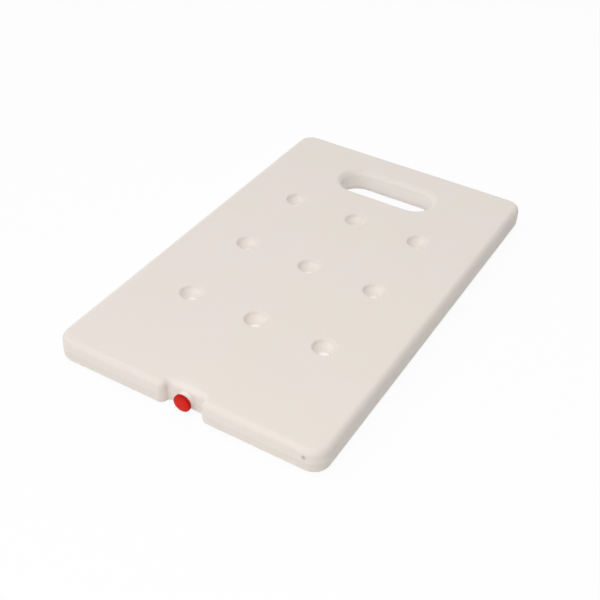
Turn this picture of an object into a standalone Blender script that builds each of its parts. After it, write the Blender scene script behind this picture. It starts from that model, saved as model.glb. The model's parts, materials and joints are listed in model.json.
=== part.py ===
"""Reusable ice pack: a flat cooling plate, blow moulded, filled and closed with a plug.

Metres, +Z up. The plate lies on z = 0 and is centred on the origin. Its filler end is at -Y
and its hand slot is near its +Y end. Both faces are alike about the parting plane, half way up.
"""

import math

import bmesh
import bpy
from mathutils import Matrix, Vector

# Plate
LENGTH = 0.530
WIDTH = 0.325
THICKNESS = 0.030
CORNER_RADIUS = 0.0190
EDGE_ROUNDING = 0.0072
WALL_DRAFT = math.radians(1.0)

# Hand slot, measured at the parting plane
SLOT_LENGTH = 0.125
SLOT_BREADTH = 0.0475
SLOT_TO_FAR_END = 0.0487
SLOT_LIP = 0.008

# Dimples that weld the two faces together, as sharp cones before their edges are rounded.
# The rows spread evenly between the filler end and the slot, and the columns between the sides.
DIMPLE_ROWS = 3
DIMPLE_COLUMNS = 3
DIMPLES_TO_FILLER_END = 0.1405
DIMPLES_TO_SLOT = 0.0613
DIMPLES_TO_SIDE = 0.0772
DIMPLE_MOUTH_RADIUS = 0.0130
DIMPLE_FLOOR_RADIUS = 0.0070
DIMPLE_LIP = 0.0030
DIMPLE_FILLET = 0.0020
DIMPLE_WEB = 0.0040

# Recess in the filler end
RECESS_BREADTH = 0.0428
RECESS_DEPTH = 0.0094
RECESS_FLARE = math.radians(12.0)
RECESS_BACK_RADIUS = 0.0030
RECESS_FRONT_SPARE = 0.0006

# Filler neck, standing out of the recess's back wall, with its blind bore
NECK_DIAMETER = 0.0170
NECK_MOUTH_ROUNDING = 0.0006
NECK_FLARE = 0.0010
NECK_ROOT = 0.0030
BORE_DIAMETER = 0.0120
BORE_BEYOND_STEM = 0.0010
BORE_OVERCUT = 0.0010

# Filler plug
PLUG_SETBACK = 0.0005
PLUG_HEAD_DIAMETER = 0.0202
PLUG_HEAD_THICKNESS = 0.0040
PLUG_CROWN = 0.0005
PLUG_HEAD_ROUNDING = 0.0010
PLUG_BACK_ROUNDING = 0.0003
PLUG_STEM_LENGTH = 0.0110
PLUG_STEM_CHAMFER = 0.0010
PLUG_CLEARANCE = 0.0003

# Facets
OUTLINE_STEP = math.radians(10.0)
PROFILE_STEP = math.radians(18.0)
DIMPLE_STEP = math.radians(30.0)
DIMPLE_SIDES = 20
TURNED_SIDES = 32
CROWN_STEPS = 5
SHARP_ANGLE = math.radians(40.0)
WELD = 0.00001
NO_TURN = 0.000001

# How far a profile runs on over a flat face past its corner, in roundings
FLAT_RUN = 2.0

PARTING = THICKNESS / 2


def left_of(direction):
    """Return the unit vector to the left of a direction in the plane."""
    return Vector((-direction.y, direction.x))


def rounded(corners, step, closed):
    """Round the corners of a plane path, given as (x, y, radius).

    Return a list of (point, normal to its left).
    """
    path = []
    last = len(corners) - 1
    for i, (x, y, radius) in enumerate(corners):
        here = Vector((x, y))
        before = Vector(corners[i - 1][:2])
        after = Vector(corners[(i + 1) % len(corners)][:2])
        if not closed and i == 0:
            path.append((here, left_of((after - here).normalized())))
            continue
        if not closed and i == last:
            path.append((here, left_of((here - before).normalized())))
            continue
        way_in = (here - before).normalized()
        way_out = (after - here).normalized()
        turn = math.atan2(way_in.x * way_out.y - way_in.y * way_out.x, way_in.dot(way_out))
        side = math.copysign(1.0, turn)
        steps = max(1, math.ceil(abs(turn) / step - NO_TURN))
        if radius == 0.0 or abs(turn) < NO_TURN:
            path.append((here, left_of((way_in + way_out).normalized())))
            continue
        start = here - way_in * radius * math.tan(abs(turn) / 2)
        centre = start + left_of(way_in) * side * radius
        for k in range(steps + 1):
            normal = Matrix.Rotation(turn * k / steps, 2) @ left_of(way_in)
            path.append((centre - normal * side * radius, normal))
    return [item for item, other in zip(path, path[-1:] + path) if (item[0] - other[0]).length > WELD]


def face_inset():
    """Return how far the draft alone sets a face's edge in from the parting plane's outline."""
    return PARTING * math.tan(WALL_DRAFT)


def rim_profile(rounding):
    """Return (inset, height) points of a wall from the parting plane up to the face."""
    inset = face_inset()
    corners = [(0.0, 0.0, 0.0), (inset, PARTING, rounding), (inset + FLAT_RUN * rounding, PARTING, 0.0)]
    return [point for point, normal in rounded(corners, PROFILE_STEP, False)][:-1]


def plate_corners():
    """Return the plate's outline at the parting plane, run anticlockwise, as (x, y, radius)."""
    side = WIDTH / 2
    end = LENGTH / 2
    back_half = RECESS_BREADTH / 2
    front_half = back_half + RECESS_DEPTH * math.tan(RECESS_FLARE)
    front_radius = EDGE_ROUNDING + face_inset() + RECESS_FRONT_SPARE
    right = [
        (back_half, RECESS_DEPTH - end, RECESS_BACK_RADIUS),
        (front_half, -end, front_radius),
        (side, -end, CORNER_RADIUS),
        (side, end, CORNER_RADIUS),
    ]
    return right + [(-x, y, radius) for x, y, radius in reversed(right)]


def slot_near_edge():
    """Return where the hand slot's edge on the dimples' side stands along the plate."""
    return LENGTH / 2 - SLOT_TO_FAR_END - SLOT_BREADTH


def slot_corners():
    """Return the hand slot's outline, run clockwise so that the plate is on its left."""
    half = SLOT_LENGTH / 2
    near = slot_near_edge()
    far = near + SLOT_BREADTH
    radius = SLOT_BREADTH / 2
    return [(-half, near, radius), (-half, far, radius), (half, far, radius), (half, near, radius)]


def wall_rings(corners, rounding):
    """Return the rings of a wall from the lower face's rim to the upper face's, along an outline."""
    upper = rim_profile(rounding)
    profile = [(inset, -height) for inset, height in reversed(upper[1:])] + upper
    outline = rounded(corners, OUTLINE_STEP, True)
    return [
        [(*(point + normal * inset), PARTING + height) for point, normal in outline]
        for inset, height in profile
    ]


def spread(first, last, count):
    """Return evenly spaced places from the first to the last."""
    return [first + (last - first) * k / (count - 1) for k in range(count)]


def dimple_centres():
    """Return the centres of the dimples, in rows across the plate."""
    outer = WIDTH / 2 - DIMPLES_TO_SIDE
    columns = spread(-outer, outer, DIMPLE_COLUMNS)
    rows = spread(DIMPLES_TO_FILLER_END - LENGTH / 2, slot_near_edge() - DIMPLES_TO_SLOT, DIMPLE_ROWS)
    return [(x, y) for y in rows for x in columns]


def dimple_profile():
    """Return (radius, height above the parting plane) points from a dimple's floor to its lip."""
    floor = DIMPLE_WEB / 2
    corners = [
        (0.0, floor, 0.0),
        (DIMPLE_FLOOR_RADIUS, floor, DIMPLE_FILLET),
        (DIMPLE_MOUTH_RADIUS, PARTING, DIMPLE_LIP),
        (DIMPLE_MOUTH_RADIUS + FLAT_RUN * DIMPLE_LIP, PARTING, 0.0),
    ]
    return [point for point, normal in rounded(corners, DIMPLE_STEP, False)][1:-1]


def dimple_rings(centre, side):
    """Return a dimple's rings from its floor to its lip, on the upper (1) or lower (-1) face."""
    turns = [math.tau * k / DIMPLE_SIDES for k in range(DIMPLE_SIDES)]
    return [
        [
            (centre[0] + radius * math.cos(a), centre[1] + radius * math.sin(a), PARTING + side * height)
            for a in turns
        ]
        for radius, height in dimple_profile()
    ]


def add_rings(mesh, rings):
    """Join successive rings with quads and return the rings' vertices."""
    loops = [[mesh.verts.new(point) for point in ring] for ring in rings]
    for low, high in zip(loops, loops[1:]):
        for k in range(len(low)):
            mesh.faces.new((low[k - 1], low[k], high[k], high[k - 1]))
    return loops


def loop_edges(mesh, loop):
    """Return the edges of a closed loop of vertices."""
    return [mesh.edges.get((loop[k - 1], loop[k])) for k in range(len(loop))]


def material(name, colour, roughness):
    """Return a plain plastic material."""
    made = bpy.data.materials.new(name)
    made.use_nodes = True
    shader = made.node_tree.nodes["Principled BSDF"]
    shader.inputs["Base Color"].default_value = (*colour, 1.0)
    shader.inputs["Roughness"].default_value = roughness
    shader.inputs["Metallic"].default_value = 0.0
    return made


def off_white_plastic():
    """Return the plate's waxy, slightly warm plastic."""
    return material("off_white_plastic", (0.80, 0.77, 0.72), 0.45)


def red_plastic():
    """Return the plug's smooth red plastic."""
    return material("red_plastic", (0.62, 0.03, 0.02), 0.35)


def finished_object(name, mesh, surface):
    """Turn a closed bmesh into a smooth shaded object with its faces pointing out."""
    bmesh.ops.recalc_face_normals(mesh, faces=mesh.faces)
    data = bpy.data.meshes.new(name)
    mesh.to_mesh(data)
    mesh.free()
    data.shade_smooth()
    data.set_sharp_from_angle(angle=SHARP_ANGLE)
    made = bpy.data.objects.new(name, data)
    bpy.context.scene.collection.objects.link(made)
    if surface is not None:
        data.materials.append(surface)
    return made


def turned(name, corners, setback, surface):
    """Turn a profile of (radius, depth, rounding) corners about the filler axis.

    Depth runs into the plate from the object's origin, which stands at a setback from the plate's end.
    """
    mesh = bmesh.new()
    path = rounded(corners, PROFILE_STEP, False)
    verts = [mesh.verts.new((point.x, point.y, 0.0)) for point, normal in path]
    edges = [mesh.edges.new(pair) for pair in zip(verts, verts[1:])]
    bmesh.ops.spin(
        mesh, geom=verts + edges, cent=(0.0, 0.0, 0.0), axis=(0.0, 1.0, 0.0),
        angle=math.tau, steps=TURNED_SIDES, use_merge=True,
    )
    bmesh.ops.remove_doubles(mesh, verts=mesh.verts, dist=WELD)
    made = finished_object(name, mesh, surface)
    made.location = (0.0, -LENGTH / 2 + setback, PARTING)
    return made


def cut_or_join(target, tool, operation):
    """Add a Boolean with a hidden tool object to the target."""
    tool.hide_render = True
    tool.display_type = "WIRE"
    step = target.modifiers.new(tool.name, "BOOLEAN")
    step.operation = operation
    step.solver = "EXACT"
    step.object = tool


def plate_blank():
    """Make the plate with its recess, hand slot and dimples."""
    mesh = bmesh.new()
    walls = [
        add_rings(mesh, wall_rings(plate_corners(), EDGE_ROUNDING)),
        add_rings(mesh, wall_rings(slot_corners(), SLOT_LIP)),
    ]
    for side in (-1, 1):
        rims = [loops[0] if side < 0 else loops[-1] for loops in walls]
        for centre in dimple_centres():
            loops = add_rings(mesh, dimple_rings(centre, side))
            mesh.faces.new(loops[0])
            rims.append(loops[-1])
        edges = [edge for rim in rims for edge in loop_edges(mesh, rim)]
        bmesh.ops.triangle_fill(mesh, use_beauty=True, edges=edges)
    return finished_object("plate_body", mesh, off_white_plastic())


def mouth_setback():
    """Return how far the neck's mouth stands behind the plate's end."""
    return PLUG_SETBACK + PLUG_HEAD_THICKNESS + PLUG_CLEARANCE


def filler_neck():
    """Make the neck that stands out of the recess's back wall, rooted in the wall."""
    radius = NECK_DIAMETER / 2
    length = RECESS_DEPTH - mouth_setback()
    corners = [
        (0.0, 0.0, 0.0),
        (radius, 0.0, NECK_MOUTH_ROUNDING),
        (radius, length - NECK_FLARE, 0.0),
        (radius + NECK_FLARE, length, 0.0),
        (radius + NECK_FLARE, length + NECK_ROOT, 0.0),
        (0.0, length + NECK_ROOT, 0.0),
    ]
    return turned("filler_neck_form", corners, mouth_setback(), None)


def filler_bore():
    """Make the cutter of the blind bore that takes the plug's stem."""
    radius = BORE_DIAMETER / 2
    depth = PLUG_STEM_LENGTH + BORE_BEYOND_STEM - PLUG_CLEARANCE
    corners = [
        (0.0, -BORE_OVERCUT, 0.0),
        (radius, -BORE_OVERCUT, 0.0),
        (radius, depth, 0.0),
        (0.0, depth, 0.0),
    ]
    return turned("filler_bore_cutter", corners, mouth_setback(), None)


def filler_plug():
    """Make the plug: a crowned head in front of the neck's mouth and a stem in its bore."""
    head = PLUG_HEAD_DIAMETER / 2
    stem = BORE_DIAMETER / 2 - PLUG_CLEARANCE
    back = PLUG_HEAD_THICKNESS
    tip = back + PLUG_STEM_LENGTH
    crown = [
        (head * k / CROWN_STEPS, PLUG_CROWN * (k / CROWN_STEPS) ** 2, 0.0)
        for k in range(CROWN_STEPS)
    ]
    corners = crown + [
        (head, PLUG_CROWN, PLUG_HEAD_ROUNDING),
        (head, back, PLUG_BACK_ROUNDING),
        (stem, back, 0.0),
        (stem, tip - PLUG_STEM_CHAMFER, 0.0),
        (stem - PLUG_STEM_CHAMFER, tip, 0.0),
        (0.0, tip, 0.0),
    ]
    return turned("filler_plug", corners, PLUG_SETBACK, red_plastic())


def main():
    """Build the ice pack."""
    for old in list(bpy.data.objects):
        bpy.data.objects.remove(old, do_unlink=True)
    body = plate_blank()
    cut_or_join(body, filler_neck(), "UNION")
    cut_or_join(body, filler_bore(), "DIFFERENCE")
    filler_plug()


if __name__ == "__main__":
    main()
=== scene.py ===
"""Dresses the reusable ice pack with a finely shaped plate and red plug, in a plain studio."""

import json
import math

import bmesh
import bpy
from mathutils import Matrix, Vector

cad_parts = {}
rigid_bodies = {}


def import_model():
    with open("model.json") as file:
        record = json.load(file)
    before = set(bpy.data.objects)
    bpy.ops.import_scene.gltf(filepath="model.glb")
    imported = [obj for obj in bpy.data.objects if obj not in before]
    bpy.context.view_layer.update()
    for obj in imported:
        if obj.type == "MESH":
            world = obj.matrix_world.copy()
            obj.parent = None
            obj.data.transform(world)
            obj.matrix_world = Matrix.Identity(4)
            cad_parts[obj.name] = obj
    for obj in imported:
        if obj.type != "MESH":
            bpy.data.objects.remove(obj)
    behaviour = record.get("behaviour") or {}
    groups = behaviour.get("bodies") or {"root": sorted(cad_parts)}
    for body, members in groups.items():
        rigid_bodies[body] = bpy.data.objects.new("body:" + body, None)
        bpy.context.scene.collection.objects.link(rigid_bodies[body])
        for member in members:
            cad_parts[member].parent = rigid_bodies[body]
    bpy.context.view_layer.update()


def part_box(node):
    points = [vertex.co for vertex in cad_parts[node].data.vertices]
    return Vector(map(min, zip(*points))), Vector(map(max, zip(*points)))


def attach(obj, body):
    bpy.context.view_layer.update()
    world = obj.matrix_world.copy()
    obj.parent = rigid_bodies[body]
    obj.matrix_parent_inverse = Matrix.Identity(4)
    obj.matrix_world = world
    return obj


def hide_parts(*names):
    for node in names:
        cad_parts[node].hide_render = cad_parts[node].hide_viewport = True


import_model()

bl_info = {
    "name": "Ice Pack Looks",
    "version": (1, 0, 0),
    "blender": (4, 5, 0),
    "location": "3D View > Sidebar > Ice Pack",
    "description": "Shapes and finishes a reusable ice pack on its CAD frame",
    "category": "Object",
}

PLATE_LOW, PLATE_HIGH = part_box("plate_body")
PLUG_LOW, PLUG_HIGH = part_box("filler_plug")
PARTING = (PLATE_LOW.z + PLATE_HIGH.z) / 2
TOUCH = 0.00002

# A flat face's normal is more upright than FLAT. At a corner's edge, STEEP parts the steep face
# from the flat one.
FLAT = 0.999
STEEP = 0.97

# Small sizes of the neck, its bore and the plug in metres, with how much wider the neck is at its
# root, as a factor, and the number of rings in the plug's crown.
NECK_ROOT = 0.003
NECK_ROUNDING = 0.0006
NECK_SPREAD = 1.25
BORE_SPARE = 0.001
BACK_ROUNDING = 0.0003
STEM_ROUNDING = 0.001
CROWN_RINGS = 7

# Where painted light pales the plate's colour in its dips and hand slot, and round the recess, to lift
# their shade.
# Depths lie below a face, and the slot's range lies along Y. The strip along the outer wall isn't a dip.
PAINTED_LIGHT_DEPTHS = (0.0005, 0.0045)
SLOT_PAINTED_LIGHT_DEPTHS = (0.0045, 0.0120)
SLOT_PAINTED_LIGHT_RANGE = (0.140, 0.150)
WALL_STRIP = 0.03
RECESS_LIGHT_MIDDLE = (0.0, -0.2580, PARTING)
RECESS_LIGHT_REACH = 0.0300

# The speck of dirt on the near end, with a fainter trail below it.
SPECK_PLACE = (0.1420, -0.2650, 0.0208)
TRAIL_PLACE = (0.1418, -0.2650, 0.0168)
TRAIL_SHARE = 0.25

# How strong the scuffs, the plug's darker patches and the painted shade on the plug's rim are.
SCUFF_SHARE = 0.5
SCUFF_LIFT = 1.035
PLUG_PATCH_LEVEL = 0.93
PLUG_RIM_SHADE_LEVEL = 0.70

# Each lamp's bearing and height in degrees, and the front lamp's share of the lamps' distance.
TOP_LIGHT_WAY = (-90.0, 88.0)
FRONT_LIGHT_WAY = (-84.0, 31.0)
FRONT_LIGHT_SHARE = 0.9

# How fast the room's shade fades upwards, the floor's white, and how much it glows where it is seen.
SHADE_FALL = 3.0
FLOOR_WHITE = 0.87
FLOOR_GLOW = 0.92


class PlateSizes(bpy.types.PropertyGroup):
    """Sizes of the plate's shell."""

    width: bpy.props.FloatProperty(
        name="Width", description="Width at the parting line",
        default=PLATE_HIGH.x - PLATE_LOW.x, subtype="DISTANCE", unit="LENGTH", precision=4)
    length: bpy.props.FloatProperty(
        name="Length", description="Length at the parting line",
        default=PLATE_HIGH.y - PLATE_LOW.y, subtype="DISTANCE", unit="LENGTH", precision=4)
    thickness: bpy.props.FloatProperty(
        name="Thickness", description="Thickness from face to face",
        default=PLATE_HIGH.z - PLATE_LOW.z, subtype="DISTANCE", unit="LENGTH", precision=4)
    corner_radius: bpy.props.FloatProperty(
        name="Corner Radius", description="Radius of the four corners",
        default=0.0190, subtype="DISTANCE", unit="LENGTH", precision=4)
    edge_rounding: bpy.props.FloatProperty(
        name="Edge Rounding", description="Rounding between the faces and the outer wall",
        default=0.0072, subtype="DISTANCE", unit="LENGTH", precision=4)
    draft: bpy.props.FloatProperty(
        name="Draft", description="How far the walls lean in from the parting line to a face",
        default=0.00026, subtype="DISTANCE", unit="LENGTH", precision=5)
    seam_height: bpy.props.FloatProperty(
        name="Seam Height", description="How far the mould's seam stands out of the outer wall",
        default=0.00008, subtype="DISTANCE", unit="LENGTH", precision=5)
    seam_breadth: bpy.props.FloatProperty(
        name="Seam Breadth", description="Breadth of the mould's seam",
        default=0.0009, subtype="DISTANCE", unit="LENGTH", precision=5)
    flat_margin: bpy.props.FloatProperty(
        name="Flat Margin", description="Breadth of the ring of faces where a flat meets a rounding",
        default=0.0007, subtype="DISTANCE", unit="LENGTH", precision=5)


class SlotSizes(bpy.types.PropertyGroup):
    """Sizes of the hand slot and of the filler's recess."""

    slot_length: bpy.props.FloatProperty(
        name="Slot Length", description="Length of the hand slot",
        default=0.1250, subtype="DISTANCE", unit="LENGTH", precision=4)
    slot_breadth: bpy.props.FloatProperty(
        name="Slot Breadth", description="Breadth of the hand slot",
        default=0.0475, subtype="DISTANCE", unit="LENGTH", precision=4)
    slot_margin: bpy.props.FloatProperty(
        name="Slot Margin", description="Distance from the slot to the far end",
        default=0.0487, subtype="DISTANCE", unit="LENGTH", precision=4)
    slot_lip: bpy.props.FloatProperty(
        name="Slot Lip", description="Rounding round the hand slot",
        default=0.0080, subtype="DISTANCE", unit="LENGTH", precision=4)
    recess_breadth: bpy.props.FloatProperty(
        name="Recess Breadth", description="Breadth of the recess at its back wall",
        default=0.0428, subtype="DISTANCE", unit="LENGTH", precision=4)
    recess_depth: bpy.props.FloatProperty(
        name="Recess Depth", description="Depth of the recess",
        default=0.0094, subtype="DISTANCE", unit="LENGTH", precision=4)
    recess_flare: bpy.props.FloatProperty(
        name="Recess Flare", description="How far the recess's sides lean outwards",
        default=math.radians(12.0), subtype="ANGLE", unit="ROTATION")
    recess_back_radius: bpy.props.FloatProperty(
        name="Recess Back Radius", description="Radius of the recess's inner corners",
        default=0.0030, subtype="DISTANCE", unit="LENGTH", precision=4)
    recess_front_radius: bpy.props.FloatProperty(
        name="Recess Front Radius", description="Radius of the recess's outer corners",
        default=0.0081, subtype="DISTANCE", unit="LENGTH", precision=4)


class DimpleSizes(bpy.types.PropertyGroup):
    """Sizes and places of the weld dimples."""

    columns: bpy.props.IntProperty(
        name="Columns", description="Dimples across the plate", default=3, min=2)
    rows: bpy.props.IntProperty(
        name="Rows", description="Dimples along the plate", default=3, min=2)
    side_margin: bpy.props.FloatProperty(
        name="Side Margin", description="Distance from the outer columns to the sides",
        default=0.0772, subtype="DISTANCE", unit="LENGTH", precision=4)
    filler_margin: bpy.props.FloatProperty(
        name="Filler Margin", description="Distance from the first row to the filler end",
        default=0.1405, subtype="DISTANCE", unit="LENGTH", precision=4)
    slot_margin: bpy.props.FloatProperty(
        name="Slot Margin", description="Distance from the last row to the hand slot",
        default=0.0613, subtype="DISTANCE", unit="LENGTH", precision=4)
    mouth_radius: bpy.props.FloatProperty(
        name="Mouth Radius", description="Radius of the mouth before its lip is rounded",
        default=0.0130, subtype="DISTANCE", unit="LENGTH", precision=4)
    floor_radius: bpy.props.FloatProperty(
        name="Floor Radius", description="Radius of the floor before its edge is rounded",
        default=0.0070, subtype="DISTANCE", unit="LENGTH", precision=4)
    web: bpy.props.FloatProperty(
        name="Web", description="Thickness of the welded web between two floors",
        default=0.0040, subtype="DISTANCE", unit="LENGTH", precision=4)
    lip: bpy.props.FloatProperty(
        name="Lip", description="Rounding of the mouth",
        default=0.0030, subtype="DISTANCE", unit="LENGTH", precision=4)
    fillet: bpy.props.FloatProperty(
        name="Fillet", description="Rounding between the wall and the floor",
        default=0.0020, subtype="DISTANCE", unit="LENGTH", precision=4)


class FillerSizes(bpy.types.PropertyGroup):
    """Sizes of the filler neck and its plug."""

    neck_radius: bpy.props.FloatProperty(
        name="Neck Radius", description="Outer radius of the filler neck",
        default=0.0085, subtype="DISTANCE", unit="LENGTH", precision=4)
    neck_gap: bpy.props.FloatProperty(
        name="Neck Gap", description="Gap between the neck's mouth and the plug's head",
        default=0.0003, subtype="DISTANCE", unit="LENGTH", precision=5)
    bore_radius: bpy.props.FloatProperty(
        name="Bore Radius", description="Radius of the bore that takes the plug's stem",
        default=0.0060, subtype="DISTANCE", unit="LENGTH", precision=4)
    head_radius: bpy.props.FloatProperty(
        name="Head Radius", description="Radius of the plug's head",
        default=(PLUG_HIGH.x - PLUG_LOW.x) / 2, subtype="DISTANCE", unit="LENGTH", precision=4)
    head_thickness: bpy.props.FloatProperty(
        name="Head Thickness", description="Thickness of the plug's head",
        default=0.0040, subtype="DISTANCE", unit="LENGTH", precision=4)
    head_rounding: bpy.props.FloatProperty(
        name="Head Rounding", description="Rounding of the head's front edge",
        default=0.0012, subtype="DISTANCE", unit="LENGTH", precision=4)
    crown: bpy.props.FloatProperty(
        name="Crown", description="How far the middle of the head stands in front of its edge",
        default=0.0005, subtype="DISTANCE", unit="LENGTH", precision=5)


class Finishes(bpy.types.PropertyGroup):
    """Colours and gloss of the two plastics."""

    plate_colour: bpy.props.FloatVectorProperty(
        name="Plate Colour", description="Colour of the plate's waxy plastic",
        default=(0.785, 0.715, 0.668), subtype="COLOR", min=0.0, max=1.0)
    plate_tint: bpy.props.FloatVectorProperty(
        name="Plate Tint", description="Colour of the plate's slightly yellower patches",
        default=(0.785, 0.722, 0.655), subtype="COLOR", min=0.0, max=1.0)
    plate_roughness: bpy.props.FloatProperty(
        name="Plate Roughness", description="Roughness of the moulded surface",
        default=0.50, subtype="FACTOR", min=0.0, max=1.0)
    # Painted light: a paler colour that lifts the shade in the dips, the hand slot and the recess.
    dip_painted_light_colour: bpy.props.FloatVectorProperty(
        name="Thin Colour",
        description="Colour of the wall where it is thin, in the dimples, the hand slot and the recess",
        default=(0.86, 0.805, 0.76), subtype="COLOR", min=0.0, max=1.0)
    # Painted light: a paler colour still, lifting the shade deep in the hand slot.
    slot_painted_light_colour: bpy.props.FloatVectorProperty(
        name="Deep Colour", description="Colour of the wall where it is thinnest, deep in the hand slot",
        default=(0.905, 0.855, 0.81), subtype="COLOR", min=0.0, max=1.0)
    # Painted highlight: the webs are painted near white to show a bright glint deep in the dimples.
    weld_painted_highlight_colour: bpy.props.FloatVectorProperty(
        name="Weld Colour", description="Colour of the thin welded webs",
        default=(0.97, 0.955, 0.94), subtype="COLOR", min=0.0, max=1.0)
    speck_colour: bpy.props.FloatVectorProperty(
        name="Speck Colour", description="Colour of the small speck of dirt",
        default=(0.23, 0.19, 0.16), subtype="COLOR", min=0.0, max=1.0)
    plug_colour: bpy.props.FloatVectorProperty(
        name="Plug Colour", description="Colour of the plug",
        default=(0.68, 0.007, 0.002), subtype="COLOR", min=0.0, max=1.0)
    plug_roughness: bpy.props.FloatProperty(
        name="Plug Roughness", description="Roughness of the plug",
        default=0.32, subtype="FACTOR", min=0.0, max=1.0)


class Studio(bpy.types.PropertyGroup):
    """Light levels of the studio."""

    room_light: bpy.props.FloatProperty(
        name="Room Light", description="Mean level of the room's light", default=0.765, min=0.0)
    slope: bpy.props.FloatVectorProperty(
        name="Slope", description="How much brighter the room is towards each axis",
        default=(0.0, -0.04, 0.15), size=3)
    shade: bpy.props.FloatProperty(
        name="Shade", description="How much darker the room is low down on the plate's right side",
        default=4.0, min=0.0)
    top_light: bpy.props.FloatProperty(
        name="Top Light", description="Light that a surface facing the top softbox gets",
        default=0.12, min=0.0)
    front_light: bpy.props.FloatProperty(
        name="Front Light", description="Light that a surface facing the front softbox gets",
        default=0.205, min=0.0)
    softbox_distance: bpy.props.FloatProperty(
        name="Softbox Distance", description="Distance from the lamps to the plate",
        default=1.5, subtype="DISTANCE", unit="LENGTH")
    softbox_size: bpy.props.FloatProperty(
        name="Softbox Size", description="Side of a softbox",
        default=0.9, subtype="DISTANCE", unit="LENGTH")
    floor_size: bpy.props.FloatProperty(
        name="Floor Size", description="Side of the floor",
        default=9.0, subtype="DISTANCE", unit="LENGTH")


def pick(kind, test):
    """Select only the vertices, edges or faces that pass a test, in the mesh being edited."""
    bpy.ops.mesh.select_mode(type=kind)
    mesh = bmesh.from_edit_mesh(bpy.context.edit_object.data)
    kinds = {"VERT": mesh.verts, "EDGE": mesh.edges, "FACE": mesh.faces}
    for item in [*mesh.verts, *mesh.edges, *mesh.faces]:
        item.select = False
    chosen = [item for item in kinds[kind] if test(item)]
    for item in chosen:
        item.select_set(True)
    mesh.select_flush_mode()
    bmesh.update_edit_mesh(bpy.context.edit_object.data)
    if not chosen:
        raise RuntimeError(f"nothing to pick among the {kind.lower()} elements")


def anything(item):
    """Pass every element."""
    return True


def is_flat(face):
    """Pass a level face."""
    return abs(face.normal.z) > FLAT


def at_point(place):
    """Return a test for the vertices at a place in plan."""
    return lambda vertex: (vertex.co.xy - Vector(place)).length < TOUCH


def move(offset):
    """Move what is selected."""
    bpy.ops.transform.translate(value=offset)


def stretch(factors, centre):
    """Scale what is selected about a centre given in the world."""
    bpy.ops.transform.resize(value=factors, center_override=centre)


def push(offset):
    """Extrude what is selected."""
    bpy.ops.mesh.extrude_region_move(TRANSFORM_OT_translate={"value": offset})


def round_off(offset, segments, affect="EDGES"):
    """Round what is selected with an even arc."""
    bpy.ops.mesh.bevel(
        offset_type="OFFSET", offset=offset, segments=segments, profile=0.5,
        affect=affect, clamp_overlap=False, loop_slide=False)


def apply_all(piece):
    """Apply a piece's modifiers and bring its origin to the world's."""
    for step in list(piece.modifiers):
        bpy.ops.object.modifier_apply(modifier=step.name)
    bpy.ops.object.transform_apply(location=True, rotation=True, scale=True)


def only(piece):
    """Leave one object selected and active."""
    bpy.ops.object.select_all(action="DESELECT")
    piece.select_set(True)
    bpy.context.view_layer.objects.active = piece


def close_up(piece):
    """Merge what doubles in a piece and turn its faces outwards."""
    only(piece)
    bpy.ops.object.mode_set(mode="EDIT")
    pick("VERT", anything)
    bpy.ops.mesh.remove_doubles(threshold=TOUCH / 2)
    pick("FACE", anything)
    bpy.ops.mesh.normals_make_consistent(inside=False)
    bpy.ops.object.mode_set(mode="OBJECT")


def spread(first, last, count):
    """Return evenly spaced places from the first to the last."""
    return [first + (last - first) * k / (count - 1) for k in range(count)]


def slot_middle(plate, slot):
    """Return where the slot's middle stands along the plate."""
    return plate.length / 2 - slot.slot_margin - slot.slot_breadth / 2


def dimple_centres(plate, slot, dimple):
    """Return the dimples' centres."""
    outer = plate.width / 2 - dimple.side_margin
    last = slot_middle(plate, slot) - slot.slot_breadth / 2 - dimple.slot_margin
    rows = spread(dimple.filler_margin - plate.length / 2, last, dimple.rows)
    return [Vector((x, y)) for y in rows for x in spread(-outer, outer, dimple.columns)]


def draw_outline(plate, slot):
    """Draw the plate's outline with its recess as one flat face."""
    width = plate.width - 2 * (plate.draft + plate.seam_height)
    length = plate.length - 2 * (plate.draft + plate.seam_height)
    half = slot.recess_breadth / 2
    back = slot.recess_depth - plate.length / 2 + plate.draft
    front = -length / 2
    flare = (back - front) * math.tan(slot.recess_flare)
    bpy.ops.mesh.primitive_plane_add(size=1.0, location=(0.0, 0.0, PARTING))
    bpy.ops.object.mode_set(mode="EDIT")
    stretch((width, length, 1.0), (0.0, 0.0, PARTING))
    cuts = (((-half, 0, 0), (1, 0, 0)), ((half, 0, 0), (1, 0, 0)), ((0, back, 0), (0, 1, 0)))
    for place, normal in cuts:
        pick("FACE", anything)
        bpy.ops.mesh.bisect(plane_co=place, plane_no=normal)

    def in_recess(face):
        """Pass the face that the recess takes away."""
        middle = face.calc_center_median()
        return abs(middle.x) < half and middle.y < back

    pick("FACE", in_recess)
    bpy.ops.mesh.delete(type="FACE")
    for side in (-1, 1):
        pick("VERT", at_point((side * half, front)))
        move((side * flare, 0.0, 0.0))
    pick("FACE", anything)
    bpy.ops.mesh.dissolve_limited(angle_limit=math.radians(1.0))
    turn = math.tan((math.pi / 2 - slot.recess_flare) / 2)
    for side in (-1, 1):
        pick("VERT", at_point((side * half, back)))
        round_off(slot.recess_back_radius * turn, segments=8, affect="VERTICES")
        pick("VERT", at_point((side * (half + flare), front)))
        round_off(slot.recess_front_radius * turn, segments=12, affect="VERTICES")
    for x in (-width / 2, width / 2):
        for y in (front, -front):
            pick("VERT", at_point((x, y)))
            round_off(plate.corner_radius, segments=18, affect="VERTICES")


def within(centre, half_length, radius):
    """Return a test for what lies within a radius of a line across the plate, in plan."""
    def test(item):
        """Pass an element whose vertices all lie near the line."""
        return all(
            math.hypot(
                max(abs(vertex.co.x - centre[0]) - half_length, 0.0),
                vertex.co.y - centre[1]) < radius
            for vertex in item.verts)
    return test


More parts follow.
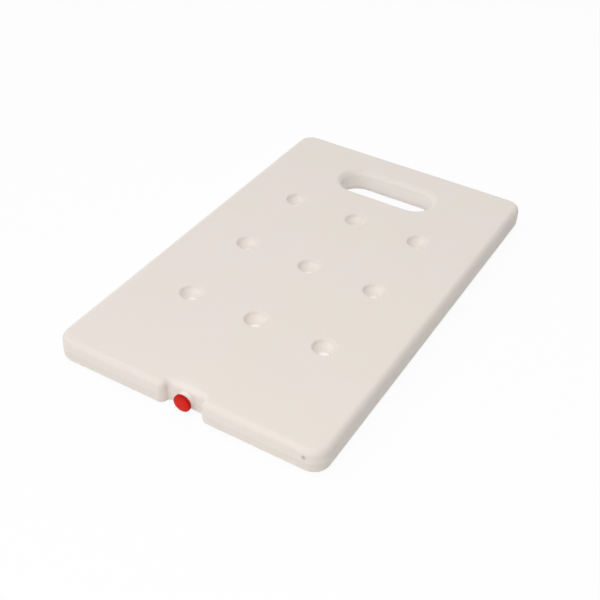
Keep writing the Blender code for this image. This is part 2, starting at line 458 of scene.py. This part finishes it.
def corner_edges(height, area=anything):
    """Return a test for an area's edges at a height where a flat face meets a steep one."""
    def test(edge):
        """Pass the edges at the height between a flat and a steep face."""
        if any(abs(vertex.co.z - height) > TOUCH for vertex in edge.verts) or not area(edge):
            return False
        levels = sorted(abs(face.normal.z) for face in edge.link_faces)
        return len(levels) == 2 and levels[0] < STEEP < levels[1]
    return test


def shape_outer_wall(plate):
    """Draw down the outer wall with half of the mould's seam, round its edge and open its face."""
    half = plate.thickness / 2
    seam = plate.seam_breadth / 2
    middle = (0.0, 0.0, PARTING)
    body = Vector((plate.width, plate.length)) - Vector((1, 1)) * 2 * plate.seam_height
    face = body - Vector((1, 1)) * 2 * plate.draft
    pick("VERT", anything)
    move((0.0, 0.0, half))
    pick("FACE", anything)
    push((0.0, 0.0, seam - half))
    stretch((body.x / face.x, body.y / face.y, 1.0), middle)
    push((0.0, 0.0, -seam / 2))
    stretch((plate.width / body.x, plate.length / body.y, 1.0), middle)
    push((0.0, 0.0, -seam / 2))
    bpy.ops.mesh.delete(type="ONLY_FACE")
    pick("EDGE", corner_edges(half))
    round_off(plate.edge_rounding, segments=9)
    pick("FACE", lambda face: is_flat(face) and len(face.verts) > 4)
    bpy.ops.mesh.inset(thickness=plate.flat_margin, depth=0.0)
    bpy.ops.mesh.delete(type="ONLY_FACE")


def shape_slot(plate, slot):
    """Model the hand slot's wall, its rounded lip and a flat ring round it."""
    half = plate.thickness / 2
    ring = slot.slot_lip + plate.flat_margin
    radius = slot.slot_breadth / 2 + plate.draft
    centre = (0.0, slot_middle(plate, slot), PARTING + half)
    area = within(centre, (slot.slot_length - slot.slot_breadth) / 2, radius + ring + TOUCH)
    bpy.ops.mesh.primitive_plane_add(size=1.0, location=centre)
    stretch((slot.slot_length + 2 * (plate.draft + ring), 2 * (radius + ring), 1.0), centre)
    round_off(radius + ring - TOUCH / 4, segments=24, affect="VERTICES")
    bpy.ops.mesh.remove_doubles(threshold=TOUCH)
    pick("FACE", area)
    bpy.ops.mesh.inset(thickness=ring, depth=0.0)
    push((0.0, 0.0, -half))
    draft = (1 - 2 * plate.draft / slot.slot_length, 1 - 2 * plate.draft / slot.slot_breadth, 1.0)
    stretch(draft, centre)
    bpy.ops.mesh.delete(type="ONLY_FACE")
    pick("EDGE", corner_edges(half, area))
    round_off(slot.slot_lip, segments=9)


def shape_dimples(plate, slot, dimple):
    """Model one rounded dimple with a flat ring round it, then copy it to each place."""
    half = plate.thickness / 2
    depth = half - dimple.web / 2
    ratio = dimple.floor_radius / dimple.mouth_radius
    lean = math.atan2(depth, dimple.mouth_radius - dimple.floor_radius)
    ring = dimple.lip + plate.flat_margin
    centres = dimple_centres(plate, slot, dimple)
    centre = (*centres[0], PARTING + half)
    area = within(centre, 0.0, dimple.mouth_radius + ring + TOUCH)
    bpy.ops.mesh.primitive_circle_add(
        vertices=56, radius=dimple.mouth_radius + ring, fill_type="NGON", location=centre)
    bpy.ops.mesh.inset(thickness=ring, depth=0.0)
    push((0.0, 0.0, -depth))
    stretch((ratio, ratio, 1.0), centre)
    pick("EDGE", corner_edges(half, area))
    round_off(dimple.lip * math.tan(lean / 2), segments=8)
    pick("EDGE", corner_edges(half - depth, area))
    round_off(dimple.fillet * math.tan(lean / 2), segments=6)
    pick("FACE", lambda face: area(face) and is_flat(face) and face.calc_center_median().z < half / 2)
    bpy.ops.mesh.inset(thickness=dimple.floor_radius / 4, depth=0.0)
    bpy.context.object.active_material_index = 1
    bpy.ops.mesh.select_more()
    bpy.ops.object.material_slot_assign()
    for place in centres[1:]:
        pick("FACE", area)
        bpy.ops.mesh.duplicate_move(TRANSFORM_OT_translate={"value": (*(place - centres[0]), 0.0)})


def fill_face(plate):
    """Fill the flat face between the outer wall, the slot and the dimples."""
    half = plate.thickness / 2

    def on_rim(edge):
        """Pass the open edges at the face's height."""
        return edge.is_boundary and all(vertex.co.z > half - TOUCH for vertex in edge.verts)

    pick("EDGE", on_rim)
    bpy.ops.mesh.fill(use_beauty=True)


def make_shell(plate, slot, dimple, surfaces):
    """Model the upper half of the plate, then mirror it about the parting line."""
    bpy.ops.object.select_all(action="DESELECT")
    draw_outline(plate, slot)
    shell = bpy.context.object
    shell.name = "plate_shell"
    for surface in surfaces:
        shell.data.materials.append(surface)
    shape_outer_wall(plate)
    shape_slot(plate, slot)
    shape_dimples(plate, slot, dimple)
    fill_face(plate)
    bpy.ops.object.mode_set(mode="OBJECT")
    only(shell)
    bpy.ops.object.modifier_add(type="MIRROR")
    shell.modifiers[-1].use_axis = (False, False, True)
    shell.modifiers[-1].merge_threshold = TOUCH
    apply_all(shell)
    close_up(shell)
    return shell


def make_rod(radius, front, back, name):
    """Model a round rod along the filler's axis."""
    bpy.ops.object.select_all(action="DESELECT")
    bpy.ops.mesh.primitive_cylinder_add(
        vertices=64, radius=radius, depth=back - front, location=(0.0, (front + back) / 2, PARTING),
        rotation=(math.pi / 2, 0.0, 0.0))
    rod = bpy.context.object
    rod.name = name
    apply_all(rod)
    return rod


def cut_or_join(piece, tool, operation):
    """Apply a Boolean with a tool, then remove the tool."""
    only(piece)
    bpy.ops.object.modifier_add(type="BOOLEAN")
    piece.modifiers[-1].operation = operation
    piece.modifiers[-1].solver = "EXACT"
    piece.modifiers[-1].object = tool
    bpy.ops.object.modifier_apply(modifier=piece.modifiers[-1].name)
    bpy.data.objects.remove(tool, do_unlink=True)


def along_axis(radius, y):
    """Return a test for the edges of a circle round the filler's axis, at a place along it."""
    def on_circle(vertex):
        """Pass a vertex that stands on the circle."""
        distance = math.hypot(vertex.co.x, vertex.co.z - PARTING)
        return abs(vertex.co.y - y) < TOUCH and abs(distance - radius) < TOUCH
    return lambda edge: all(on_circle(vertex) for vertex in edge.verts)


def facing(direction, y):
    """Return a test for the faces that look along a direction at a place along the filler's axis."""
    return lambda face: face.normal.y * direction > 0.9 and abs(face.calc_center_median().y - y) < TOUCH


def make_neck(shell, plate, slot, filler):
    """Join the filler neck to the recess's back wall and cut its bore."""
    mouth = PLUG_LOW.y + filler.head_thickness + filler.neck_gap
    wall = slot.recess_depth - plate.length / 2
    neck = make_rod(filler.neck_radius, mouth, wall + NECK_ROOT, "neck_form")
    bpy.ops.object.mode_set(mode="EDIT")
    pick("EDGE", along_axis(filler.neck_radius, mouth))
    round_off(NECK_ROUNDING, segments=4)
    pick("FACE", facing(1, wall + NECK_ROOT))
    stretch((NECK_SPREAD, 1.0, NECK_SPREAD), (0.0, wall, PARTING))
    bpy.ops.object.mode_set(mode="OBJECT")
    cut_or_join(shell, neck, "UNION")
    bore = make_rod(filler.bore_radius, mouth - BORE_SPARE, PLUG_HIGH.y + BORE_SPARE, "bore_form")
    cut_or_join(shell, bore, "DIFFERENCE")


def make_plug(filler):
    """Model the plug: a crowned round head with a soft edge, and its stem."""
    front = PLUG_LOW.y + filler.crown
    back = PLUG_LOW.y + filler.head_thickness
    radius = filler.head_radius
    stem = filler.bore_radius - filler.neck_gap
    plug = make_rod(radius, front, back, "filler_plug_fine")
    bpy.ops.object.mode_set(mode="EDIT")
    pick("EDGE", along_axis(radius, front))
    round_off(filler.head_rounding, segments=8)
    flat = radius - filler.head_rounding
    step = flat / (CROWN_RINGS + 1)
    pick("FACE", facing(-1, front))
    for k in range(CROWN_RINGS):
        before = 1 - (k * step / flat - 1) ** 2
        after = 1 - ((k + 1) * step / flat - 1) ** 2
        bpy.ops.mesh.inset(thickness=step, depth=filler.crown * (after - before))
    pick("EDGE", along_axis(radius, back))
    round_off(BACK_ROUNDING, segments=3)
    pick("FACE", facing(1, back))
    bpy.ops.mesh.inset(thickness=radius - BACK_ROUNDING - stem, depth=0.0)
    push((0.0, PLUG_HIGH.y - back, 0.0))
    pick("EDGE", along_axis(stem, PLUG_HIGH.y))
    round_off(STEM_ROUNDING, segments=3)
    bpy.ops.object.mode_set(mode="OBJECT")
    close_up(plug)
    return plug


def smooth(piece, angle):
    """Shade a piece smooth, with edges sharper than an angle kept."""
    only(piece)
    bpy.ops.object.shade_smooth_by_angle(angle=angle)


def feed(tree, socket, source):
    """Join a socket to another or give it a value."""
    if isinstance(source, bpy.types.NodeSocket):
        tree.links.new(source, socket)
    else:
        socket.default_value = source


def reckon(tree, operation, first, second=0.0):
    """Return the result of a Math node on two values."""
    made = tree.nodes.new("ShaderNodeMath")
    made.operation = operation
    feed(tree, made.inputs[0], first)
    feed(tree, made.inputs[1], second)
    return made.outputs[0]


class Nodes:
    """Builds a material's nodes, each joined to what feeds it."""

    def __init__(self, name):
        """Start a material with its shader and output."""
        self.material = bpy.data.materials.new(name)
        self.material.use_nodes = True
        self.tree = self.material.node_tree
        self.shader = self.tree.nodes["Principled BSDF"]
        self.place = self.add("ShaderNodeTexCoord").outputs["Object"]

    def add(self, kind, links=(), **values):
        """Add a node, set its properties and join its inputs."""
        made = self.tree.nodes.new(kind)
        for key, value in values.items():
            setattr(made, key, value)
        for socket, source in dict(links).items():
            feed(self.tree, made.inputs[socket], source)
        return made

    def set(self, **values):
        """Set or join the shader's own sockets."""
        for key, source in values.items():
            feed(self.tree, self.shader.inputs[key.replace("_", " ")], source)

    def noise(self, size, detail=2.0, roughness=0.5, stretch=None):
        """Return noise whose patches are about a size across."""
        place = self.place
        if stretch:
            place = self.add("ShaderNodeMapping", {"Vector": place, "Scale": stretch}).outputs["Vector"]
        made = self.add(
            "ShaderNodeTexNoise",
            {"Vector": place, "Scale": 1.0 / size, "Detail": detail, "Roughness": roughness})
        return made.outputs["Fac"]

    def ramp(self, source, low, high, bottom=0.0, top=1.0):
        """Map a range of a value smoothly to another."""
        made = self.add(
            "ShaderNodeMapRange",
            {"Value": source, "From Min": low, "From Max": high, "To Min": bottom, "To Max": top},
            interpolation_type="SMOOTHSTEP")
        return made.outputs["Result"]

    def times(self, first, second):
        """Return the product of two values."""
        return reckon(self.tree, "MULTIPLY", first, second)

    def blend(self, share, first, second):
        """Mix two colours."""
        return self.add(
            "ShaderNodeMix", {"Factor": share, 6: first, 7: second}, data_type="RGBA").outputs[2]

    def near(self, centre, reach, ragged=0.0, grain=0.001):
        """Return 1 at a point, falling to 0 at a reach from it, with a ragged edge."""
        distance = self.add(
            "ShaderNodeVectorMath", {0: self.place, 1: centre}, operation="DISTANCE").outputs["Value"]
        if ragged:
            wobble = self.times(self.noise(grain), ragged)
            distance = reckon(self.tree, "ADD", distance, wobble)
        return self.ramp(distance, reach, 0.0)

    def below_face(self, shallow, deep):
        """Return how deep a place lies in a dip, from 0 near a face to 1, and 0 on the outer wall."""
        inside = None
        parts = self.add("ShaderNodeSeparateXYZ", {"Vector": self.place}).outputs
        middle = reckon(self.tree, "SUBTRACT", parts["Z"], PARTING)
        for part, end in ((parts["X"], PLATE_HIGH.x), (parts["Y"], PLATE_HIGH.y)):
            size = reckon(self.tree, "ABSOLUTE", part)
            near = reckon(self.tree, "LESS_THAN", size, end - WALL_STRIP)
            inside = self.times(near, inside) if inside else near
        height = reckon(self.tree, "ABSOLUTE", middle)
        face = PLATE_HIGH.z - PARTING
        return self.times(inside, self.ramp(height, face - shallow, face - deep))

    def bump(self, height, depth, under=None):
        """Return a surface normal raised by a height."""
        links = {"Height": height, "Distance": depth, "Strength": 1.0}
        if under is not None:
            links["Normal"] = under
        return self.add("ShaderNodeBump", links).outputs["Normal"]


def opaque(colour):
    """Return a colour with its alpha."""
    return (*colour, 1.0)


def plate_plastic(finish):
    """Waxy blow moulded plastic: faint patches, fine grain, slow waves, scuffs, a speck of dirt, and
    painted light that pales its dips, slot and recess.
    """
    made = Nodes("off_white_moulded")
    patches = made.ramp(made.noise(size=0.09, detail=2.0), low=0.38, high=0.62)
    colour = made.blend(patches, opaque(finish.plate_colour), opaque(finish.plate_tint))
    streaks = made.noise(size=0.0022, detail=3.0, roughness=0.6, stretch=(1.0, 0.06, 1.0))
    areas = made.noise(size=0.07, detail=1.0)
    scuffs = made.times(
        made.ramp(streaks, low=0.64, high=0.72),
        made.ramp(areas, low=0.52, high=0.66))
    pale = tuple(min(1.0, value * SCUFF_LIFT) for value in finish.plate_colour)
    colour = made.blend(made.times(scuffs, SCUFF_SHARE), colour, opaque(pale))
    # Painted light: a paler colour in the dips and the hand slot lifts their shade.
    colour = made.blend(made.below_face(*PAINTED_LIGHT_DEPTHS), colour, opaque(finish.dip_painted_light_colour))
    # Painted light: a paler colour still, deep in the hand slot, lifts its shade further.
    along = made.add("ShaderNodeSeparateXYZ", {"Vector": made.place}).outputs["Y"]
    deep = made.times(made.below_face(*SLOT_PAINTED_LIGHT_DEPTHS), made.ramp(along, *SLOT_PAINTED_LIGHT_RANGE))
    colour = made.blend(deep, colour, opaque(finish.slot_painted_light_colour))
    # Painted light: a paler colour round the recess lifts the shade about the plug.
    recess = made.near(RECESS_LIGHT_MIDDLE, reach=RECESS_LIGHT_REACH)
    colour = made.blend(recess, colour, opaque(finish.dip_painted_light_colour))
    speck = made.near(SPECK_PLACE, reach=0.0056, ragged=0.0032, grain=0.0010)
    trail = made.near(TRAIL_PLACE, reach=0.0032, ragged=0.0020, grain=0.0012)
    colour = made.blend(speck, colour, opaque(finish.speck_colour))
    colour = made.blend(made.times(trail, TRAIL_SHARE), colour, opaque(finish.speck_colour))
    rough = made.ramp(
        made.noise(size=0.03, detail=3.0), low=0.35, high=0.65,
        bottom=finish.plate_roughness - 0.05, top=finish.plate_roughness + 0.05)
    waves = made.bump(made.noise(size=0.11, detail=1.0), depth=0.0012)
    grain = made.bump(made.noise(size=0.0011, detail=2.0, roughness=0.6), depth=0.00003, under=waves)
    made.set(Base_Color=colour, Roughness=rough, Normal=grain, IOR=1.5)
    made.set(Subsurface_Weight=0.12, Subsurface_Scale=0.004, Subsurface_Radius=(1.0, 0.75, 0.6))
    return made.material


def weld_plastic(finish):
    """Thin pressed web, smoother than the rest and painted near white as a painted highlight, with faint
    patches.
    """
    made = Nodes("pressed_weld")
    patches = made.times(made.noise(size=0.004, detail=2.0), 0.2)
    # Painted highlight: the near-white colour stands in for the bright glint on the webs.
    colour = made.blend(patches, opaque(finish.weld_painted_highlight_colour), opaque(finish.plate_colour))
    grain = made.bump(made.noise(size=0.0016, detail=2.0), depth=0.00003)
    made.set(Base_Color=colour, Roughness=0.1, Normal=grain, IOR=1.54)
    return made.material


def plug_plastic(finish):
    """Smooth red plastic with a fine grain, slightly darker patches and painted shade darkening its
    edge.
    """
    made = Nodes("red_moulded")
    patches = made.ramp(made.noise(size=0.006, detail=2.0), low=0.35, high=0.65)
    dark = tuple(value * PLUG_PATCH_LEVEL for value in finish.plug_colour)
    colour = made.blend(patches, opaque(finish.plug_colour), opaque(dark))
    # Painted shade: a darker red round the head's edge, where its rounding turns from the light.
    rim = made.ramp(made.near((0.0, PLUG_LOW.y, PARTING), reach=0.0102), low=0.066, high=0.0045)
    shaded = tuple(value * PLUG_RIM_SHADE_LEVEL for value in finish.plug_colour)
    colour = made.blend(rim, colour, opaque(shaded))
    rough = made.ramp(
        made.noise(size=0.003, detail=2.0), low=0.3, high=0.7,
        bottom=finish.plug_roughness - 0.04, top=finish.plug_roughness + 0.04)
    grain = made.bump(made.noise(size=0.0007, detail=2.0), depth=0.00002)
    made.set(Base_Color=colour, Roughness=rough, Normal=grain, Specular_IOR_Level=0.12)
    return made.material


class ICEPACK_OT_plate(bpy.types.Operator):
    """Model the plate with its dimples, hand slot, recess and filler neck"""

    bl_idname = "ice_pack.plate"
    bl_label = "Plate"

    def execute(self, context):
        """Build the shell, finish it and let it stand for the CAD plate."""
        scene = context.scene
        plate, slot, dimple, filler = scene.ice_plate, scene.ice_slot, scene.ice_dimple, scene.ice_filler
        surfaces = (plate_plastic(scene.ice_finish), weld_plastic(scene.ice_finish))
        shell = make_shell(plate, slot, dimple, surfaces)
        make_neck(shell, plate, slot, filler)
        smooth(shell, math.radians(50.0))
        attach(shell, "root")
        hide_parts("plate_body")
        return {"FINISHED"}


class ICEPACK_OT_plug(bpy.types.Operator):
    """Model the filler plug with its crowned head"""

    bl_idname = "ice_pack.plug"
    bl_label = "Filler Plug"

    def execute(self, context):
        """Build the plug, finish it and let it stand for the CAD plug."""
        plug = make_plug(context.scene.ice_filler)
        plug.data.materials.append(plug_plastic(context.scene.ice_finish))
        smooth(plug, math.radians(40.0))
        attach(plug, "root")
        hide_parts("filler_plug")
        return {"FINISHED"}


def seen_directly(tree):
    """Return 1 for camera, glossy and transmission rays and 0 for the rest."""
    path = tree.nodes.new("ShaderNodeLightPath").outputs
    shiny = reckon(tree, "MAXIMUM", path["Is Camera Ray"], path["Is Glossy Ray"])
    return reckon(tree, "MAXIMUM", shiny, path["Is Transmission Ray"])


def mix_shaders(tree, share, first, second, output):
    """Mix two shaders by a share and join the mix to an output's surface."""
    mix = tree.nodes.new("ShaderNodeMixShader")
    for socket, source in zip(mix.inputs, (share, first.outputs[0], second.outputs[0])):
        feed(tree, socket, source)
    tree.links.new(mix.outputs[0], tree.nodes[output].inputs["Surface"])


def floor_paint():
    """Matt white that looks white, keeps part of its shadow, and gives back light as paint does."""
    paint = bpy.data.materials.new("studio_floor")
    paint.use_nodes = True
    tree = paint.node_tree
    shader = tree.nodes["Principled BSDF"]
    shader.inputs["Base Color"].default_value = (FLOOR_WHITE, FLOOR_WHITE, FLOOR_WHITE, 1.0)
    shader.inputs["Roughness"].default_value = 0.9
    shader.inputs["Specular IOR Level"].default_value = 0.0
    glow = tree.nodes.new("ShaderNodeEmission")
    share = reckon(tree, "MULTIPLY", seen_directly(tree), FLOOR_GLOW)
    mix_shaders(tree, share, shader, glow, "Material Output")
    return paint


def light_world(level, slope, shade):
    """Light the scene softly, brighter upwards and darker low on the right side, against white."""
    world = bpy.data.worlds.new("studio")
    bpy.context.scene.world = world
    world.use_nodes = True
    tree = world.node_tree
    even = tree.nodes["Background"]
    even.inputs["Color"].default_value = opaque((1.0, 1.0, 1.0))
    way = tree.nodes.new("ShaderNodeTexCoord").outputs["Generated"]
    along = tree.nodes.new("ShaderNodeVectorMath")
    along.operation = "DOT_PRODUCT"
    feed(tree, along.inputs[0], way)
    feed(tree, along.inputs[1], slope)
    parts = tree.nodes.new("ShaderNodeSeparateXYZ")
    feed(tree, parts.inputs[0], way)
    low = reckon(tree, "SUBTRACT", 1.0, parts.outputs["Z"])
    side = reckon(tree, "MAXIMUM", parts.outputs["X"], 0.0)
    fade = reckon(tree, "POWER", low, SHADE_FALL)
    lost = reckon(tree, "MULTIPLY", fade, reckon(tree, "MULTIPLY", side, shade))
    total = reckon(tree, "ADD", along.outputs["Value"], level)
    total = reckon(tree, "MAXIMUM", reckon(tree, "SUBTRACT", total, lost), 0.0)
    feed(tree, even.inputs["Strength"], total)
    white = tree.nodes.new("ShaderNodeBackground")
    white.inputs["Color"].default_value = opaque((1.0, 1.0, 1.0))
    white.inputs["Strength"].default_value = 1.0
    mix_shaders(tree, seen_directly(tree), even, white, "World Output")


def softbox(name, bearing_and_height, distance, size, level):
    """Add a square lamp in a direction, giving a surface at the plate a level of light."""
    bpy.ops.object.select_all(action="DESELECT")
    side, height = (math.radians(angle) for angle in bearing_and_height)
    flat = math.cos(height)
    way = Vector((flat * math.cos(side), flat * math.sin(side), math.sin(height)))
    bpy.ops.object.light_add(
        type="AREA", location=way * distance, rotation=way.to_track_quat("Z", "Y").to_euler())
    lamp = bpy.context.object
    lamp.name = name
    lamp.data.size = size
    lamp.data.energy = level * math.pi * math.pi * distance ** 2


def place_camera():
    """Set the camera where the photograph was taken from."""
    back = Vector((0.37632, -0.68960, 0.61871))
    right = Vector((0.86131, 0.50647, 0.04065))
    eye = Vector((0.44590, -0.84430, 0.72490))
    bpy.ops.object.camera_add(location=eye)
    camera = bpy.context.object
    camera.name = "photo_camera"
    up = back.cross(right).normalized()
    right = up.cross(back).normalized()
    turn = Matrix((right, up, back.normalized())).transposed().to_4x4()
    camera.matrix_world = Matrix.Translation(eye) @ turn
    camera.data.sensor_width = 36.0
    camera.data.lens = 60.375
    bpy.context.scene.camera = camera


class ICEPACK_OT_stage(bpy.types.Operator):
    """Set up the floor, the light and the camera"""

    bl_idname = "ice_pack.stage"
    bl_label = "Studio"

    def execute(self, context):
        """Build a plain white studio."""
        studio = context.scene.ice_studio
        bpy.ops.object.select_all(action="DESELECT")
        bpy.ops.mesh.primitive_plane_add(size=studio.floor_size, location=(0.0, 0.0, 0.0))
        floor = context.object
        floor.name = "floor"
        floor.data.materials.append(floor_paint())
        light_world(studio.room_light, studio.slope, studio.shade)
        away, size = studio.softbox_distance, studio.softbox_size
        softbox("top_light", TOP_LIGHT_WAY, away, size, studio.top_light)
        softbox("front_light", FRONT_LIGHT_WAY, away * FRONT_LIGHT_SHARE, size, studio.front_light)
        place_camera()
        context.scene.view_settings.view_transform = "Standard"
        return {"FINISHED"}


class ICEPACK_PT_panel(bpy.types.Panel):
    """Lists the pieces of the ice pack"""

    bl_idname = "ICEPACK_PT_panel"
    bl_label = "Ice Pack"
    bl_space_type = "VIEW_3D"
    bl_region_type = "UI"
    bl_category = "Ice Pack"

    def draw(self, context):
        """Draw a button for each piece, then the sizes and finishes."""
        for operator in OPERATORS:
            self.layout.operator(operator.bl_idname)
        for name, kind in GROUPS.items():
            box = self.layout.box()
            group = getattr(context.scene, name)
            for key in kind.__annotations__:
                box.prop(group, key)


OPERATORS = (ICEPACK_OT_plate, ICEPACK_OT_plug, ICEPACK_OT_stage)
GROUPS = {
    "ice_plate": PlateSizes,
    "ice_slot": SlotSizes,
    "ice_dimple": DimpleSizes,
    "ice_filler": FillerSizes,
    "ice_finish": Finishes,
    "ice_studio": Studio,
}


def register():
    """Register the classes and hang their settings on the scene."""
    for kind in (*GROUPS.values(), *OPERATORS, ICEPACK_PT_panel):
        bpy.utils.register_class(kind)
    for name, kind in GROUPS.items():
        setattr(bpy.types.Scene, name, bpy.props.PointerProperty(type=kind))


def unregister():
    """Take the settings and classes away again."""
    for name in GROUPS:
        delattr(bpy.types.Scene, name)
    for kind in reversed((*GROUPS.values(), *OPERATORS, ICEPACK_PT_panel)):
        bpy.utils.unregister_class(kind)


def main():
    """Build every piece."""
    register()
    bpy.ops.ice_pack.plate()
    bpy.ops.ice_pack.plug()
    bpy.ops.ice_pack.stage()


if __name__ == "__main__":
    main()
